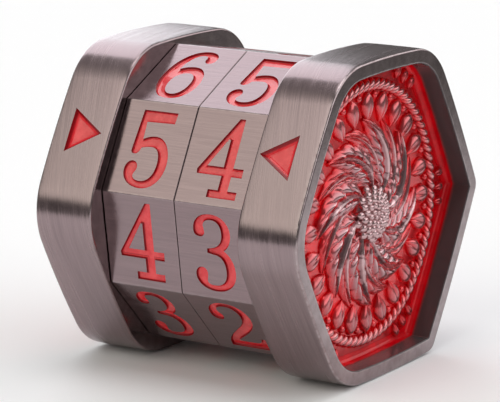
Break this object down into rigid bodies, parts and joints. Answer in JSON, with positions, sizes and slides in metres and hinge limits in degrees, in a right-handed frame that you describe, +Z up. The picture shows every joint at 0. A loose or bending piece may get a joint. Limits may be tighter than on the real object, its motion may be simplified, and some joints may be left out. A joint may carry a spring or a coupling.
{
  "type": "life counter",
  "caption": "Palm-sized metal life counter: numbered decagonal drums that click round on a spindle between hexagonal end caps with pointer arrows.",
  "frame": {"origin": "middle of the bounding box's underside: on the ground, midway between the two end caps", "axes": "+X along the spindle towards the units drum's end, +Z up as it stands on one flat of its caps, -Y towards the user, who sees the pointer arrows on the upper front flat"},
  "size_m": [0.0304, 0.0356, 0.032],
  "materials": {
    "brushed_gunmetal": "gunmetal-plated metal, brushed, with red enamel in the engraved figures and arrows",
    "enamelled_relief": "cast relief in gunmetal plating under translucent red enamel that pools in the low places",
    "bronze": "plain bronze bearing metal",
    "bright_steel": "turned bright steel",
    "nylon": "off-white nylon"
  },
  "bodies": {
    "case": {"left_cap": "brushed_gunmetal", "right_cap": "brushed_gunmetal", "left_ornament_plate": "enamelled_relief", "right_ornament_plate": "enamelled_relief", "spindle": "bright_steel", "left_cap_screw": "bright_steel", "right_cap_screw": "bright_steel", "left_lock_washer": "bright_steel", "right_lock_washer": "bright_steel", "left_thrust_washer": "nylon", "right_thrust_washer": "nylon", "center_washer": "nylon"},
    "tens_wheel": {"tens_drum": "brushed_gunmetal", "tens_drum_bush": "bronze", "tens_click_ball": "bright_steel", "tens_click_spring": "bright_steel"},
    "units_wheel": {"units_drum": "brushed_gunmetal", "units_drum_bush": "bronze", "units_click_ball": "bright_steel", "units_click_spring": "bright_steel"}
  },
  "joints": [
    {"name": "tens_drum_spin", "type": "hinge", "parent": "case", "child": "tens_wheel", "pos_m": [-0.00419, -0.00043, 0.016], "axis": [1, 0, 0], "continuous": true},
    {"name": "units_drum_spin", "type": "hinge", "parent": "case", "child": "units_wheel", "pos_m": [0.00419, -0.00043, 0.016], "axis": [1, 0, 0], "continuous": true}
  ]
}
